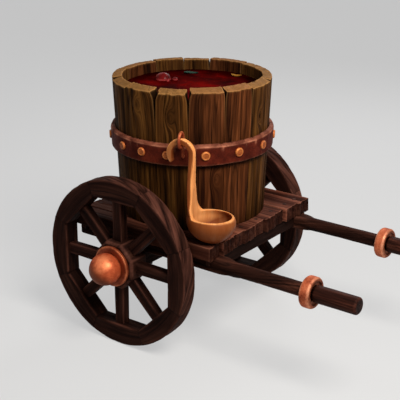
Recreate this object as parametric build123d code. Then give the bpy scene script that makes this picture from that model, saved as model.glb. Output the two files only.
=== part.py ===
"""A two-wheeled wooden food cart with a coopered stew tub and a hooked ladle, in millimetres.

+X runs along the shafts towards the grips, +Z is up, and the origin is on the ground under the middle of
the cart. The pieces are laid out from the axle and moved to that origin when they are written.
"""
from build123d import *
from math import atan2, cos, degrees, radians, sin, sqrt
import os

# Wheels
wheel_radius = 300
wheel_width = 62
spoke_count = 8
felloe_depth = 74
felloe_joint = 0.8
tread_bevel = 5
spoke_width_foot = 43
spoke_width_tip = 39
spoke_thickness = 34
spoke_bevel = 5
spoke_tenon_length = 26
spoke_tenon_width = 22
spoke_tenon_thickness = 26
tongue_radius = 11
tongue_length = 46
felloe_dowel_radius = 7
felloe_dowel_length = 44

# Naves and their copper
nave_apothem = 82
nave_inner_proud = 7
nave_outer_proud = 10
nave_bevel = 7
bush_wall = 8
nave_ring_radius = 72
nave_ring_hole = 44
nave_ring_thickness = 13
nave_ring_round = 4
cap_radius = 56
cap_wall = 4
cap_centre_height = 27

# Axle
axle_radius = 16
axle_end = 22
washer_radius = 33
washer_thickness = 4
linchpin_radius = 4
linchpin_length = 50
beam_width = 96
beam_below_axle = 32
beam_above_axle = 22
beam_bevel = 6
strap_width = 46
strap_thickness = 6
bolt_radius = 6
bolt_head_radius = 11
bolt_head_height = 7
bolt_spacing = 64

# Deck and frame
deck_length = 624
deck_width = 608
deck_thickness = 50
plank_gap = 5
plank_edges = (-238, -37, 150)
plank_bevel = 3
split_steps = ((0, -6), (3, -4, 1), (-5, 2, -3), (4, 8))
split_slant = 3
rail_width = 50
rail_height = 40
rail_inset = 42
middle_rail_forward = 72
rail_tenon_length = 25
rail_tenon_width = 30
rail_tenon_height = 22
peg_radius = 7
peg_length = 78
peg_inset = 45
narrow_plank = 120

# Shafts, collars and grips
shaft_square = 50
shaft_radius = 24
shaft_spread = 248
shaft_rear_inset = 12
shaft_bevel = 5
shaft_taper_length = 56
shaft_reach = 709
collar_radius = 52
collar_width = 37
collar_lip = 8
collar_bevel = 6
collar_step_radius = 38
collar_step_depth = 6
grip_radius = 29
grip_length = 159
grip_bevel = 6
spigot_radius = 13
spigot_length = 70

# Tub
tub_x = 48
tub_height = 490
tub_foot_radius = 258
tub_rim_radius = 278.3
stave_wall = 36
stave_start = -106.6
stave_spans = (27, 24, 26, 23, 28, 24, 35, 32, 22, 25, 36, 31, 27)
stave_drops = (4, 5, 0, 1, 6, 8, 11, 9, 13, 10, 12, 8, 9)
joint_openings = (5, 18, 13, 6, 5, 3, 3, 3, 10, 4, 4, 8, 5)
joint_opening_depth = 45
stave_joint = 0.6
rim_bevel_outer = 6
rim_bevel_inner = 4
croze_height = 26
croze_depth = 9
bottom_thickness = 22
bottom_board_count = 4
bottom_board_joint = 0.5
tub_dowel_radius = 9
tub_dowel_length = 44
tub_dowel_count = 4

# Stew and the round vegetables in it: place along and across the tub, radius
stew_below_rim = 51
float_rise = 3
floats = ((-134, 5, 27), (-91, 19, 10), (-100, -12, 6))

# Hoop, rivets and ladle eye
hoop_height = 75
hoop_rise = 233
hoop_thickness = 17
hoop_bevel = 3
rivet_radius = 16
rivet_height = 8
rivet_shank_radius = 5
rivet_shank_length = 30
rivet_angles_seen = (-138, -108, -89, -70, -44, -20, 4, 31)
rivets_behind = 7
eye_angle = -58.65
eye_neck_reach = 17
eye_twist = 10
eye_radius = 24
eye_wire_radius = 5.5
eye_neck_radius = 5
eye_neck_inset = 4
eye_bend_radius = 10
eye_shank_length = 43

# Ladle
ladle_length = 341
ladle_turn = 15
bowl_sections = ((0, 98, 124, 13), (7, 73, 147, 37), (25, 44, 168, 57), (56, 24, 186, 72), (88, 22, 179, 67))
bowl_wall = 7
root_walls = (7, 11, 16, 21, 22)
crook_radius = 48
crook_thickness = 20
crook_depth = 20
crook_curl = 38
crook_tip_radius = 6
handle_back = ((26, 200), (20, 120), (22, 78))
handle_front = ((45, 200), (46, 150))
handle_root = (84, 78)
handle_inset = 1.5
handle_flanks = ((14, 240), (21, 165), (32, 122), (60, 82))

# Clearances and cutters
running_clearance = 0.05
end_play = 0.3
wood_fit = 0.1
wheel_clearance = 3
hook_clearance = 0.5
eye_clearance = 1
overcut = 1
cutter_scale = 3

# Heights and places that follow from the sizes above
axle_z = wheel_radius
beam_top = axle_z + beam_above_axle
deck_bottom = beam_top + shaft_square
deck_top = deck_bottom + deck_thickness
shaft_z = beam_top + shaft_square / 2
deck_front = tub_x + deck_length / 2
deck_rear = tub_x - deck_length / 2
deck_side = deck_width / 2
nave_inner = deck_side + wheel_clearance
wheel_inner = nave_inner + nave_inner_proud
wheel_middle = wheel_inner + wheel_width / 2
nave_outer = wheel_inner + wheel_width + nave_outer_proud
beam_end = nave_inner - end_play - washer_thickness
washer_outer = nave_outer + end_play
linchpin_y = washer_outer + washer_thickness + linchpin_radius
felloe_apothem = wheel_radius - felloe_depth
felloe_half_angle = 180 / spoke_count
felloe_corner = felloe_apothem / cos(radians(felloe_half_angle))
bush_radius = axle_radius + bush_wall
tub_taper = (tub_rim_radius - tub_foot_radius) / tub_height
tub_taper_angle = degrees(atan2(tub_rim_radius - tub_foot_radius, tub_height))
hoop_bottom = deck_top + hoop_rise
hoop_top = hoop_bottom + hoop_height
hoop_middle = (hoop_bottom + hoop_top) / 2
stew_level = deck_top + tub_height - stew_below_rim
middle_x = (shaft_reach + grip_length - wheel_radius) / 2


def tub_radius(z):
    """Outside radius of the staves at a height above the ground."""
    return tub_foot_radius + (z - deck_top) * tub_taper


def polar(angle, radius, z=0):
    """A point at an angle and radius round the tub's axis."""
    return (tub_x + radius * cos(radians(angle)), radius * sin(radians(angle)), z)


def tube(outer, inner, length):
    """A round tube about Z, standing on its base."""
    base = (Align.CENTER, Align.CENTER, Align.MIN)
    return Cylinder(outer, length, align=base) - Cylinder(inner, length, align=base)


def rod(radius, start, end):
    """A round bar from one point to another."""
    line = Vector(end) - Vector(start)
    bar = Cylinder(radius, line.length, align=(Align.CENTER, Align.CENTER, Align.MIN))
    return Plane(origin=start, z_dir=line) * bar


def write(name, *solids):
    """Write one node, moved from the axle to the cart's own origin."""
    pieces = [Location((-middle_x, 0, 0)) * solid for piece in solids for solid in piece.solids()]
    node = pieces[0] if len(pieces) == 1 else Compound(children=pieces)
    export_step(node, os.path.join("parts", name + ".step"))


# Places of the ladle and its eye
eye_neck_place = tub_radius(hoop_middle) + hoop_thickness + eye_neck_reach
eye_turn = radians(eye_angle - eye_twist)
eye_offset = (eye_radius - eye_neck_inset) * Vector(cos(eye_turn), sin(eye_turn))
eye_centre = Vector(polar(eye_angle, eye_neck_place)) + eye_offset
ladle_foot = deck_top + hook_clearance
crook_z = ladle_length - crook_radius
crook_inner = crook_radius - crook_thickness
crook_seat = ladle_foot + ladle_length - crook_thickness - eye_clearance
eye_half = crook_depth / 2 / cos(radians(ladle_turn - eye_twist))
eye_z = crook_seat + sqrt((eye_radius - eye_wire_radius) ** 2 - eye_half ** 2)


# One wheel, as the one on the cart's left at +Y, with its axle along Y

def wheel_place(index):
    """The frame of one spoke: its X runs out from the axle along the spoke."""
    turn = index * 360 / spoke_count
    return Location((0, wheel_middle, axle_z)) * Rotation(0, -turn, 0)


def felloe_joint_place(side):
    """The frame of the joint at one end of a felloe, with Z across the joint."""
    turn = side * felloe_half_angle
    middle = (wheel_radius + felloe_corner) / 2
    return Rotation(0, -turn, 0) * Location((middle, 0, 0))


def felloe():
    """One felloe: round tread outside, a straight flat inside, where its spoke enters."""
    half = radians(felloe_half_angle) - felloe_joint / 2 / felloe_corner
    corner = felloe_apothem / cos(half)
    inner_low, inner_high = [(corner * cos(turn), corner * sin(turn)) for turn in (-half, half)]
    tread_low, tread_high = [(wheel_radius * cos(turn), wheel_radius * sin(turn)) for turn in (-half, half)]
    outline = [
        Line(inner_low, tread_low), RadiusArc(tread_low, tread_high, -wheel_radius),
        Line(tread_high, inner_high), Line(inner_high, inner_low),
    ]
    body = extrude(Plane.XZ * make_face(outline), wheel_width / 2, both=True)
    body = chamfer(body.edges().filter_by(GeomType.CIRCLE), tread_bevel)
    tongue_end = felloe_apothem + tongue_length + overcut
    body -= rod(tongue_radius + wood_fit, (felloe_apothem - overcut, 0, 0), (tongue_end, 0, 0))
    hole = Cylinder(felloe_dowel_radius + wood_fit, felloe_dowel_length + 2 * overcut)
    return body - [felloe_joint_place(side) * hole for side in (-1, 1)]


def spoke():
    """One spoke: bevelled and tapered, with a tenon for the nave and a round tongue for the felloe."""
    foot = chamfer(Rectangle(spoke_thickness, spoke_width_foot).vertices(), spoke_bevel)
    tip = chamfer(Rectangle(spoke_thickness, spoke_width_tip).vertices(), spoke_bevel)
    body = loft([Plane.YZ.offset(nave_apothem) * foot, Plane.YZ.offset(felloe_apothem) * tip])
    tenon = Box(spoke_tenon_length, spoke_tenon_thickness, spoke_tenon_width)
    body += Location((nave_apothem - spoke_tenon_length / 2, 0, 0)) * tenon
    return body + rod(tongue_radius, (felloe_apothem, 0, 0), (felloe_apothem + tongue_length, 0, 0))


def nave():
    """The eight-sided nave with a mortise for each spoke and a bore for the bush."""
    section = RegularPolygon(nave_apothem, spoke_count, major_radius=False, rotation=180 / spoke_count)
    face = Location((0, nave_outer, axle_z)) * (Plane.XZ * section)
    body = extrude(face, nave_outer - nave_inner)
    ends = body.faces().filter_by(Axis.Y)
    body = chamfer(ends.sort_by(Axis.Y)[-1].edges(), nave_bevel)
    body -= rod(bush_radius, (0, nave_inner - overcut, axle_z), (0, nave_outer + overcut, axle_z))
    depth = spoke_tenon_length + overcut
    mortise = Box(depth, spoke_tenon_thickness + 2 * wood_fit, spoke_tenon_width + 2 * wood_fit)
    mortise = Location((nave_apothem - depth / 2, 0, 0)) * mortise
    return body - [wheel_place(index) * mortise for index in range(spoke_count)]


def nave_ring():
    """The copper ring on the nave's outer face."""
    ring = tube(nave_ring_radius, nave_ring_hole, nave_ring_thickness)
    ring = fillet(ring.edges().sort_by(Axis.Z)[-2:].sort_by(SortBy.RADIUS)[-1:], nave_ring_round)
    return Location((0, nave_outer, axle_z)) * Rotation(-90, 0, 0) * ring


def hub_cap():
    """The hollow copper cap, a ball cut off where it stands on the nave ring."""
    shell = Sphere(cap_radius) - Sphere(cap_radius - cap_wall)
    size = cutter_scale * cap_radius
    below = Box(size, size, size, align=(Align.CENTER, Align.CENTER, Align.MAX))
    shell -= Location((0, 0, -cap_centre_height)) * below
    centre_y = nave_outer + nave_ring_thickness + cap_centre_height
    return Location((0, centre_y, axle_z)) * Rotation(-90, 0, 0) * shell


def bush():
    """The iron bush that runs on the axle."""
    pipe = tube(bush_radius, axle_radius + running_clearance, nave_outer - nave_inner)
    return Location((0, nave_inner, axle_z)) * Rotation(-90, 0, 0) * pipe


def write_wheel(side, place):
    """Write one wheel's nodes; place puts the left wheel's shapes on either side."""
    one_felloe = felloe()
    one_spoke = spoke()
    dowel = felloe_joint_place(1) * Cylinder(felloe_dowel_radius, felloe_dowel_length)
    turns = [wheel_place(index) for index in range(spoke_count)]
    write(side + "_wheel_felloes", *[place(turn * one_felloe) for turn in turns])
    write(side + "_wheel_spokes", *[place(turn * one_spoke) for turn in turns])
    write(side + "_wheel_felloe_dowels", *[place(turn * dowel) for turn in turns])
    write(side + "_wheel_nave", place(nave()))
    write(side + "_wheel_bush", place(bush()))
    write(side + "_wheel_nave_ring", place(nave_ring()))
    write(side + "_wheel_hub_cap", place(hub_cap()))


# Axle, beam and their fastenings

def both_sides(piece):
    """A piece and its mirror image across the cart's middle plane."""
    return [piece, mirror(piece, about=Plane.XZ)]


def axle_washers():
    """Thrust washers inside and outside each nave."""
    ring = Rotation(-90, 0, 0) * tube(washer_radius, axle_radius + wood_fit, washer_thickness)
    return [piece for y in (beam_end, washer_outer) for piece in both_sides(Location((0, y, axle_z)) * ring)]


def linchpin(clearance=0):
    """An upright pin through one end of the axle, just outside its washer."""
    half = linchpin_length / 2
    return rod(linchpin_radius + clearance, (0, linchpin_y, axle_z - half), (0, linchpin_y, axle_z + half))


def axle():
    """The fixed iron axle, drilled for the linchpins."""
    reach = linchpin_y + axle_end
    bar = rod(axle_radius, (0, -reach, axle_z), (0, reach, axle_z))
    return bar - both_sides(linchpin(running_clearance))


def bolt_places():
    """The four bolts through straps, beam and shafts."""
    return [(x, y) for x in (-bolt_spacing / 2, bolt_spacing / 2) for y in (-shaft_spread, shaft_spread)]


def beam_bolts(clearance=0):
    """Bolts from under the straps up into the shafts, with square heads below."""
    bolts = []
    bottom = axle_z - beam_below_axle - strap_thickness
    for x, y in bolt_places():
        bolt = rod(bolt_radius + clearance, (x, y, bottom), (x, y, deck_bottom - bolt_head_height))
        head = Box(2 * bolt_head_radius, 2 * bolt_head_radius, bolt_head_height)
        bolts.append(bolt + Location((x, y, bottom - bolt_head_height / 2)) * head)
    return bolts


def axle_beam():
    """The wooden beam under the shafts that holds the axle."""
    height = beam_below_axle + beam_above_axle
    body = Location((0, 0, beam_top - height / 2)) * Box(beam_width, 2 * beam_end, height)
    lower = body.edges().filter_by(Axis.Y).sort_by(Axis.Z)[:2]
    body = chamfer(lower, beam_bevel)
    hole_end = beam_end + overcut
    body -= rod(axle_radius + wood_fit, (0, -hole_end, axle_z), (0, hole_end, axle_z))
    return body - beam_bolts(wood_fit)


def axle_straps():
    """A flat iron strap under the beam below each shaft."""
    z = axle_z - beam_below_axle - strap_thickness / 2
    plate = Box(beam_width - 2 * beam_bevel, strap_width, strap_thickness)
    return [Location((0, y, z)) * plate - beam_bolts(wood_fit) for y in (-shaft_spread, shaft_spread)]


# Shafts, rails and deck

rail_places = (deck_rear + rail_inset, middle_rail_forward, deck_front - rail_inset)
plank_bounds = (-deck_side,) + plank_edges + (deck_side,)


def rail(x, clearance=0):
    """A cross rail with a tenon at each end; with a clearance, the shape of its mortises."""
    shoulder = shaft_spread - shaft_square / 2
    z = deck_bottom - rail_height / 2
    body = Location((x, 0, z)) * Box(rail_width, 2 * shoulder, rail_height)
    ends = 2 * (shoulder + rail_tenon_length + clearance)
    tenons = Box(rail_tenon_width + 2 * clearance, ends, rail_tenon_height + 2 * clearance)
    return body + Location((x, 0, z)) * tenons


def peg_places():
    """Where pegs go: two a plank over the front and rear rails, or one where the plank is narrow."""
    places = []
    for low, high in zip(plank_bounds, plank_bounds[1:]):
        across = (low + peg_inset, high - peg_inset)
        if high - low < narrow_plank:
            across = ((low + high) / 2,)
        places += [(x, y) for x in (rail_places[0], rail_places[-1]) for y in across]
    return places


def deck_pegs(clearance=0):
    """Wooden pegs through the planks into the rails and shafts."""
    return [rod(peg_radius + clearance, (x, y, deck_top - peg_length - clearance), (x, y, deck_top))
            for x, y in peg_places()]


def tub_dowels(clearance=0):
    """Dowels that stand in the deck and reach into the foot of some staves."""
    half = tub_dowel_length / 2 + clearance
    dowels = []
    for step in range(tub_dowel_count):
        index = step * len(stave_spans) // tub_dowel_count
        angle = stave_start + sum(stave_spans[:index]) + stave_spans[index] / 2
        radius = tub_foot_radius - stave_wall / 2
        dowels.append(rod(tub_dowel_radius + clearance, polar(angle, radius, deck_top - half),
                          polar(angle, radius, deck_top + half)))
    return dowels


def split_end(x, low, high, steps, way):
    """Corner points across one plank's split end, from its low side to its high side."""
    width = (high - low) / len(steps)
    points = []
    for index, step in enumerate(steps):
        points.append((x + way * step, low + index * width))
        points.append((x + way * (step - split_slant), low + (index + 1) * width))
    return points


def plank(index):
    """One deck plank along X, with stepped split ends and eased edges."""
    low = plank_bounds[index] + (plank_gap / 2 if index else 0)
    high = plank_bounds[index + 1] - (plank_gap / 2 if index + 2 < len(plank_bounds) else 0)
    steps = split_steps[index]
    reach = max(max(steps) for steps in split_steps)
    front = split_end(deck_front - reach, low, high, steps, 1)
    rear = split_end(deck_rear + reach, low, high, steps[::-1], -1)
    outline = Polyline(*front, *rear[::-1], close=True)
    body = extrude(Location((0, 0, deck_bottom)) * make_face(outline), deck_thickness)
    long_edges = body.edges().filter_by(Axis.X).group_by(Axis.Z)[-1]
    body = chamfer(long_edges, plank_bevel)
    return body - deck_pegs(wood_fit) - tub_dowels(wood_fit)


def shaft(y):
    """A shaft: square under the deck, then tapered to round, with a bored end for the grip."""
    start = deck_rear + shaft_rear_inset
    square_end = deck_front - shaft_bevel
    round_start = square_end + shaft_taper_length
    section = chamfer(Rectangle(shaft_square, shaft_square).vertices(), shaft_bevel)
    at = Location((0, y, shaft_z))
    square = at * (Plane.YZ.offset(square_end) * section)
    body = extrude(square, start - square_end)
    body += loft([square, at * (Plane.YZ.offset(round_start) * Circle(shaft_radius))])
    body += rod(shaft_radius, (round_start, y, shaft_z), (shaft_reach, y, shaft_z))
    bore_foot = (shaft_reach - spigot_length - overcut, y, shaft_z)
    body -= rod(spigot_radius + wood_fit, bore_foot, (shaft_reach + overcut, y, shaft_z))
    return body - [rail(x, wood_fit) for x in rail_places] - deck_pegs(wood_fit) - beam_bolts(wood_fit)


def collar(y):
    """A copper collar over the end of a shaft, with a sunk front face round the neck of the grip."""
    front = shaft_reach + collar_lip
    ring = tube(collar_radius, shaft_radius + wood_fit, collar_width)
    outer = ring.edges().filter_by(GeomType.CIRCLE).sort_by(SortBy.RADIUS)[-2:]
    ring = chamfer(outer, collar_bevel)
    ring -= rod(collar_step_radius, (0, 0, collar_width - collar_step_depth), (0, 0, collar_width + overcut))
    return Location((front - collar_width, y, shaft_z)) * Rotation(0, 90, 0) * ring


def grip(y):
    """A turned grip with a neck inside the collar and a spigot in the shaft."""
    handle = rod(grip_radius, (0, 0, collar_lip), (0, 0, grip_length))
    end = handle.edges().filter_by(GeomType.CIRCLE).sort_by(Axis.Z)[-1:]
    handle = chamfer(end, grip_bevel) + rod(shaft_radius, (0, 0, 0), (0, 0, collar_lip))
    handle += rod(spigot_radius, (0, 0, -spigot_length), (0, 0, 0))
    return Location((shaft_reach, y, shaft_z)) * Rotation(0, 90, 0) * handle


# Tub

def rivet_angles():
    """Rivets seen in the photo, then the rest spaced evenly round the back."""
    first = rivet_angles_seen[0] + 360
    last = rivet_angles_seen[-1]
    pitch = (first - last) / (rivets_behind + 1)
    return list(rivet_angles_seen) + [last + pitch * (step + 1) for step in range(rivets_behind)]


def hoop_face(angle, z):
    """A plane on the hoop's outside, Z pointing straight out of it."""
    tilt = radians(tub_taper_angle)
    around = radians(angle)
    out = (cos(around) * cos(tilt), sin(around) * cos(tilt), -sin(tilt))
    origin = polar(angle, tub_radius(z) + hoop_thickness, z)
    return Plane(origin=origin, x_dir=(-sin(around), cos(around), 0), z_dir=out)


def rivet_shanks(clearance=0):
    """The parts of the rivets that go through the hoop into the staves."""
    shank = rod(rivet_shank_radius + clearance, (0, 0, 0), (0, 0, -rivet_shank_length - clearance))
    return [hoop_face(angle, hoop_middle) * shank for angle in rivet_angles()]


def hoop_rivets():
    """Domed rivets round the hoop."""
    ball_radius = (rivet_radius ** 2 + rivet_height ** 2) / (2 * rivet_height)
    ball = Location((0, 0, rivet_height - ball_radius)) * Sphere(ball_radius)
    dome = ball & rod(rivet_radius, (0, 0, 0), (0, 0, 2 * rivet_height))
    domes = [hoop_face(angle, hoop_middle) * dome for angle in rivet_angles()]
    return [head + shank for head, shank in zip(domes, rivet_shanks())]


def eye_shank(clearance=0):
    """The straight end of the ladle eye, driven through the hoop into a stave."""
    outer = polar(eye_angle, eye_neck_place - eye_bend_radius, hoop_middle)
    depth = tub_radius(hoop_middle) + hoop_thickness - eye_shank_length - clearance
    return rod(eye_neck_radius + clearance, polar(eye_angle, depth, hoop_middle), outer)


def stave_profile(drop):
    """A stave's section through the tub's axis, with worn rim edges and the groove for the bottom."""
    top = deck_top + tub_height - drop
    groove = deck_top + croze_height
    inner = [(tub_radius(z) - stave_wall, z) for z in (deck_top, groove, groove + bottom_thickness, top)]
    points = [
        inner[0], (tub_radius(deck_top), deck_top),
        (tub_radius(top - rim_bevel_outer), top - rim_bevel_outer), (tub_radius(top) - rim_bevel_outer, top),
        (inner[3][0] + rim_bevel_inner, top), (inner[3][0], top - rim_bevel_inner),
        inner[2], (inner[2][0] + croze_depth, inner[2][1]),
        (inner[1][0] + croze_depth, inner[1][1]), inner[1],
    ]
    return Plane.XZ * make_face(Polyline(*points, close=True))


def joint_cut(angle, opening, side):
    """What the worn opening of a joint takes off one of its two staves; side is the stave's side."""
    lean = degrees(atan2((opening - stave_joint) / 2, joint_opening_depth))
    foot = deck_top + tub_height - joint_opening_depth
    size = cutter_scale * joint_opening_depth
    outward = Align.MAX if side > 0 else Align.MIN
    wedge = Box(cutter_scale * stave_wall, size, size, align=(Align.CENTER, outward, Align.MIN))
    place = Location((tub_rim_radius - stave_wall / 2, side * stave_joint / 2, foot))
    return Location((tub_x, 0, 0)) * Rotation(0, 0, angle) * place * Rotation(-side * lean, 0, 0) * wedge


def stave(index):
    """One stave: a slice of the tub's tapered wall, worn open at its joints."""
    low = stave_start + sum(stave_spans[:index])
    high = low + stave_spans[index]
    slit = degrees(stave_joint / 2 / tub_foot_radius)
    body = revolve(stave_profile(stave_drops[index]), Axis.Z, stave_spans[index] - 2 * slit)
    body = Location((tub_x, 0, 0)) * Rotation(0, 0, low + slit) * body
    openings = joint_openings + joint_openings[:1]
    body -= joint_cut(low, openings[index], 1)
    body -= joint_cut(high, openings[index + 1], -1)
    return body - rivet_shanks(wood_fit) - eye_shank(wood_fit) - tub_dowels(wood_fit)


def tub_bottom():
    """The bottom boards, edge to edge, with their rim in the staves' groove."""
    low = deck_top + croze_height
    radius = tub_radius(low) - stave_wall + croze_depth - wood_fit
    disc = rod(radius, (tub_x, 0, low + wood_fit), (tub_x, 0, low + bottom_thickness - wood_fit))
    width = 2 * radius / bottom_board_count
    boards = []
    for index in range(bottom_board_count):
        y = -radius + (index + 0.5) * width
        strip = Box(cutter_scale * radius, width - bottom_board_joint, cutter_scale * bottom_thickness)
        boards.append(disc & Location((tub_x, y, low)) * strip)
    return boards


def vegetables(clearance=0):
    """Round vegetables that float in the stew, about half sunk."""
    z = stew_level + float_rise
    return [Location((tub_x + x, y, z)) * Sphere(radius + clearance) for x, y, radius in floats]


def stew():
    """The stew, as a solid that fills the tub up to its level."""
    low = deck_top + croze_height + bottom_thickness
    wall = stave_wall + wood_fit
    side = [(tub_radius(z) - wall, z) for z in (low, stew_level)]
    section = Plane.XZ * make_face(Polyline((0, low), *side, (0, stew_level), close=True))
    return Location((tub_x, 0, 0)) * revolve(section, Axis.Z) - vegetables(wood_fit)


def hoop():
    """The one thick hoop, tapered with the tub and drilled for the rivets and the eye."""
    section = Polyline(
        (tub_radius(hoop_bottom) + wood_fit, hoop_bottom),
        (tub_radius(hoop_bottom) + hoop_thickness - hoop_bevel, hoop_bottom),
        (tub_radius(hoop_bottom + hoop_bevel) + hoop_thickness, hoop_bottom + hoop_bevel),
        (tub_radius(hoop_top - hoop_bevel) + hoop_thickness, hoop_top - hoop_bevel),
        (tub_radius(hoop_top) + hoop_thickness - hoop_bevel, hoop_top),
        (tub_radius(hoop_top) + wood_fit, hoop_top), close=True)
    band = Location((tub_x, 0, 0)) * revolve(Plane.XZ * make_face(section), Axis.Z)
    return band - rivet_shanks(wood_fit) - eye_shank(wood_fit)


# Ladle and its eye

def ladle_eye():
    """The copper eye: a ring on a neck that bends into the hoop. The crook hangs on the ring's foot."""
    twist = Rotation(0, 0, eye_angle - eye_twist) * Rotation(90, 0, 0)
    ring = Location((eye_centre.X, eye_centre.Y, eye_z)) * twist * Torus(eye_radius, eye_wire_radius)
    bend_z = hoop_middle + eye_bend_radius
    neck_top = eye_z - sqrt(eye_radius ** 2 - (eye_radius - eye_neck_inset) ** 2)
    neck_foot = polar(eye_angle, eye_neck_place, bend_z)
    neck = rod(eye_neck_radius, neck_foot, polar(eye_angle, eye_neck_place, neck_top))
    section = Location((eye_bend_radius, 0, 0)) * Circle(eye_neck_radius)
    bend = Rotation(0, 0, eye_angle) * revolve(section, Axis.Y, 90)
    bend = Location(polar(eye_angle, eye_neck_place - eye_bend_radius, bend_z)) * bend
    return ring + neck + bend + eye_shank()


def ladle_bowl():
    """The outside of the bowl, solid, drawn out towards the handle."""
    sections = []
    for height, back, front, half_width in bowl_sections:
        oval = Ellipse((front - back) / 2, half_width)
        sections.append(Location(((front + back) / 2, 0, height)) * oval)
    return loft(sections)


def ladle_cavity():
    """The hollow of the bowl, carried up in front of the handle's root."""
    rim_z = bowl_sections[-1][0]
    squeeze = (rim_z - bowl_wall) / rim_z
    sections = []
    for (height, back, front, half_width), thick in zip(bowl_sections, root_walls):
        oval = Ellipse((front - back - bowl_wall - thick) / 2, half_width - bowl_wall)
        centre = (front + back - bowl_wall + thick) / 2
        sections.append(Location((centre, 0, bowl_wall + squeeze * height)) * oval)
    return loft(sections) + extrude(sections[-1], ladle_length / 4)


def ladle_handle():
    """Handle and crook: a side, a front and a plan outline, all cut through one block."""
    curl = radians(180 + crook_curl)
    along, up = cos(curl), sin(curl)
    middle = crook_radius - crook_tip_radius
    inner = middle - crook_tip_radius
    tip_out = (crook_radius * along, crook_z + crook_radius * up)
    tip_in = (inner * along, crook_z + inner * up)
    tip_end = (middle * along - crook_tip_radius * up, crook_z + middle * up + crook_tip_radius * along)
    side = [
        Spline((crook_inner, crook_z), *handle_back, tangents=[(0, -1), (0, -1)]),
        Line(handle_back[-1], handle_root),
        Spline(handle_root, *handle_front[::-1], (crook_radius, crook_z), tangents=[(-1, 0), (0, 1)]),
        ThreePointArc((crook_radius, crook_z), (0, ladle_length), tip_out),
        ThreePointArc(tip_out, tip_end, tip_in),
        TangentArc((-crook_inner, crook_z), tip_in, tangent=(0, -1)),
        RadiusArc((-crook_inner, crook_z), (crook_inner, crook_z), crook_inner),
    ]
    half = crook_depth / 2
    top = ladle_length + overcut
    root = handle_flanks[-1]
    flank = Spline((half, crook_z), *handle_flanks, tangents=[(0, -1), (1, -1)])
    crown = Polyline((-half, crook_z), (-half, top), (half, top), (half, crook_z))
    front = [flank, Line(root, (-root[0], root[1])), mirror(flank, about=Plane.YZ), crown]
    block = extrude(Plane.XZ * make_face(side), top, both=True)
    block &= extrude(Plane.YZ * make_face(front), top, both=True)
    _, back, far, half_width = bowl_sections[-1]
    plan = Ellipse((far - back) / 2 - handle_inset, half_width - handle_inset)
    shoulder = handle_back[0][1]
    lower = extrude(Location(((back + far) / 2, 0, 0)) * plan, shoulder)
    upper = Location((0, 0, shoulder)) * Box(top, top, top, align=(Align.CENTER, Align.CENTER, Align.MIN))
    return block & (lower + upper)


def ladle():
    """The carved ladle, hung by its crook with its bowl just clear of the deck."""
    body = ladle_bowl() + ladle_handle() - ladle_cavity()
    around = radians(eye_angle + 90 - ladle_turn)
    origin = (eye_centre.X, eye_centre.Y, ladle_foot)
    return Plane(origin=origin, x_dir=(cos(around), sin(around), 0), z_dir=(0, 0, 1)) * body


# Write every node
os.makedirs("parts", exist_ok=True)
write_wheel("left", lambda piece: piece)
write_wheel("right", lambda piece: mirror(piece, about=Plane.XZ))
write("axle", axle())
write("axle_beam", axle_beam())
write("axle_straps", *axle_straps())
write("axle_washers", *axle_washers())
write("beam_bolts", *beam_bolts())
write("linchpins", *both_sides(linchpin()))
for end, x in zip(("rear", "middle", "front"), rail_places):
    write(end + "_rail", rail(x) - deck_pegs(wood_fit))
for index in range(len(split_steps)):
    write(f"deck_plank_{index + 1}", plank(index))
write("deck_pegs", *deck_pegs())
for side, y in (("left", shaft_spread), ("right", -shaft_spread)):
    write(side + "_shaft", shaft(y))
    write(side + "_collar", collar(y))
    write(side + "_grip", grip(y))
for index in range(len(stave_spans)):
    write(f"stave_{index + 1:02d}", stave(index))
write("tub_bottom", *tub_bottom())
write("tub_dowels", *tub_dowels())
write("stew", stew())
write("vegetables", *vegetables())
write("hoop", hoop())
write("hoop_rivets", *hoop_rivets())
write("ladle_eye", ladle_eye())
write("ladle", ladle())
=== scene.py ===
"""Looks of the wooden food cart: worn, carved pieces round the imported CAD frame, in metres."""
from functools import reduce
from math import cos, pi, radians, sin

import bmesh
import bpy
import numpy as np
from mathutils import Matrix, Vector


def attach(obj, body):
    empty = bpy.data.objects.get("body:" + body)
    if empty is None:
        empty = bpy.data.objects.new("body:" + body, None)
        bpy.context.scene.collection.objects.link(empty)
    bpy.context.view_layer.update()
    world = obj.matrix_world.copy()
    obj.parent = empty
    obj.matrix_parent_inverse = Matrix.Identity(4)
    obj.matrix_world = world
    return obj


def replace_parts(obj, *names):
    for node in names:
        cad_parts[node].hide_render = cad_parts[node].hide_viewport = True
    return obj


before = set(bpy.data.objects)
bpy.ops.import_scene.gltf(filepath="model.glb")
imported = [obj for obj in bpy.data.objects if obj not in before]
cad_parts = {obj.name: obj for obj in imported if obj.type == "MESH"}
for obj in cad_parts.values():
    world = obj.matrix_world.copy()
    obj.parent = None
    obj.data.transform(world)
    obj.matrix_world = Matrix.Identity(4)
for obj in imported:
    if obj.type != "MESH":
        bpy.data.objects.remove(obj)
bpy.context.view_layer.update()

# Sizes that the CAD also has, with stave drops, joint openings and plank splits in millimetres
sides = (("left", 1), ("right", -1))
axle_x, axle_z = -0.284, 0.3
wheel_radius, wheel_width, wheel_middle = 0.3, 0.062, 0.345
felloe_apothem, nave_apothem = 0.226, 0.082
nave_inner, nave_outer = 0.307, 0.386
nave_ring_thickness = 0.013
hub_face = nave_outer + nave_ring_thickness
cap_radius, cap_centre_height = 0.056, 0.027
spokes = 8
spoke_turn = 2 * pi / spokes
deck_front, deck_rear, deck_side = 0.076, -0.548, 0.304
deck_top, deck_bottom, plank_half = 0.422, 0.372, 0.025
plank_bounds = (-deck_side, -0.238, -0.037, 0.15, deck_side)
plank_gap = 0.005
split_steps = ((0, -6), (3, -4, 1), (-5, 2, -3), (4, 8))
split_slant = 3
shaft_y, shaft_z, shaft_half = 0.248, 0.347, 0.025
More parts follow.
